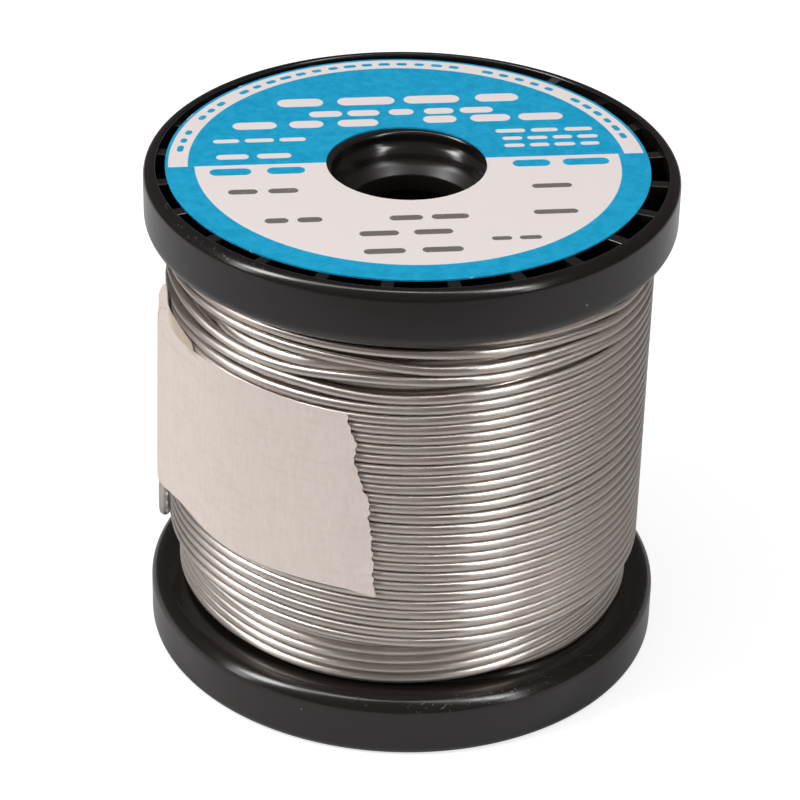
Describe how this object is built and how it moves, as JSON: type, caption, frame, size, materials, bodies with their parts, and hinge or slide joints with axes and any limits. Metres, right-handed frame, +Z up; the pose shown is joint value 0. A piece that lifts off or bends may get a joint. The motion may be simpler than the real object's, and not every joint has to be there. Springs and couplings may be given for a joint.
{
  "type": "solder wire spool",
  "caption": "Black flanged spool wound with shiny solder wire, with a ring label on top, a funnelled spindle bore and a strip of paper tape holding the wire's free end.",
  "frame": {"origin": "centre of the lower rim, on the surface that the spool stands on", "axes": "+Z up along the spindle's axis, from the lower flange to the labelled one; +X to the right and +Y away from someone who faces the torn end of the tape"},
  "size_m": [0.05, 0.05, 0.05],
  "materials": {
    "spool_plastic": "satin black moulded polystyrene",
    "barrel_plastic": "matt black moulded polystyrene",
    "label_paper": "printed coated paper in blue and white",
    "solder_wire": "drawn tin-lead solder, bright with fine draw lines",
    "masking_tape": "fine creped beige masking paper"
  },
  "bodies": {
    "root": {"upper_flange": "spool_plastic", "lower_flange": "spool_plastic", "barrel": "barrel_plastic", "top_label": "label_paper", "wire_inner_layers": "solder_wire", "wire_outer_layer": "solder_wire", "wire_tail": "solder_wire", "retaining_tape": "masking_tape"}
  },
  "joints": []
}
